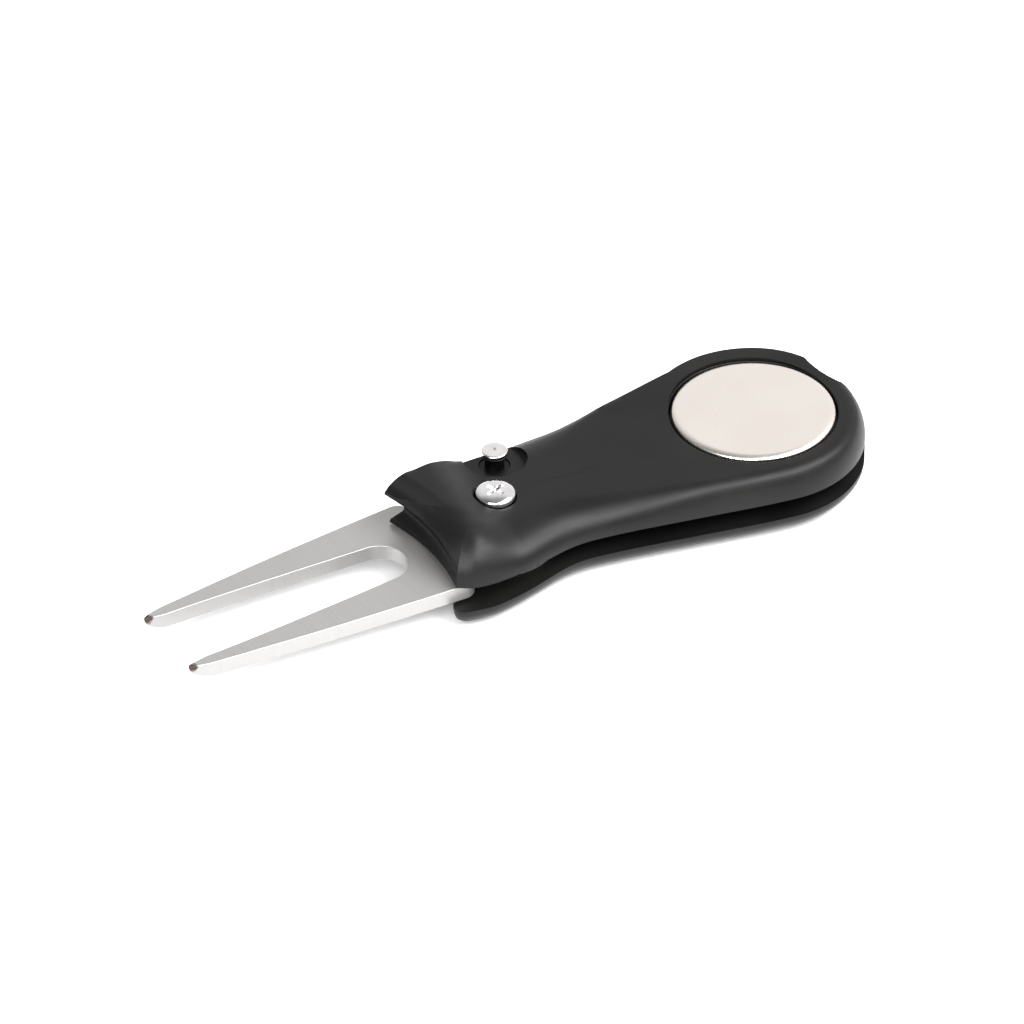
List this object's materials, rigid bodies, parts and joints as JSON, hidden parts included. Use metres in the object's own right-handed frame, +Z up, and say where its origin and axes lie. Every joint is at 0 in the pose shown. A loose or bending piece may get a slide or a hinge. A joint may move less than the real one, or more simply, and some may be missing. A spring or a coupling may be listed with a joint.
{
  "type": "golf divot repair tool",
  "caption": "Folding divot tool: two-shell plastic handle, sprung two-tined fork, push-button release, screw pivot and a magnetic ball marker.",
  "frame": {"origin": "on the flat underside, below the centre of the ball marker", "axes": "+Z up through the marker, +X towards the butt, so the open fork points along -X and the slot opens towards -Y"},
  "size_m": [0.1141, 0.033, 0.0139],
  "materials": {
    "black_plastic": "satin moulded black",
    "satin_alloy": "satin, faint cross brushing",
    "nickel": "satin nickel plate",
    "chrome": "bright plated",
    "spring_steel": "bare steel",
    "brass": "turned brass"
  },
  "bodies": {
    "handle": {"top_shell": "black_plastic", "bottom_shell": "black_plastic", "pivot_barrel": "spring_steel", "pivot_screw": "chrome", "pivot_nut": "brass", "thrust_washer": "spring_steel", "wear_plate": "satin_alloy", "fork_spring": "spring_steel", "button_spring": "spring_steel", "marker_magnet": "spring_steel", "case_screw_1": "spring_steel", "case_screw_2": "spring_steel", "case_screw_3": "spring_steel"},
    "fork": {"fork": "satin_alloy"},
    "release_button": {"release_button": "chrome"},
    "ball_marker": {"ball_marker": "nickel"}
  },
  "joints": [
    {"name": "fork_pivot", "type": "hinge", "parent": "handle", "child": "fork", "pos_m": [-0.0431, 0.00195, 0.0056], "axis": [0, 0, 1], "range_deg": [0, 180], "stiffness_Nm_per_rad": 0.004, "springref_deg": -57.3, "deforming": ["fork_spring"]},
    {"name": "button_press", "type": "slide", "parent": "handle", "child": "release_button", "axis": [0, 0, -1], "range_m": [0, 0.0026], "stiffness_N_per_m": 300, "springref_m": -0.002, "deforming": ["button_spring"]},
    {"name": "marker_lift", "type": "slide", "parent": "handle", "child": "ball_marker", "axis": [0, 0, 1], "range_m": [0, 0.01]}
  ]
}
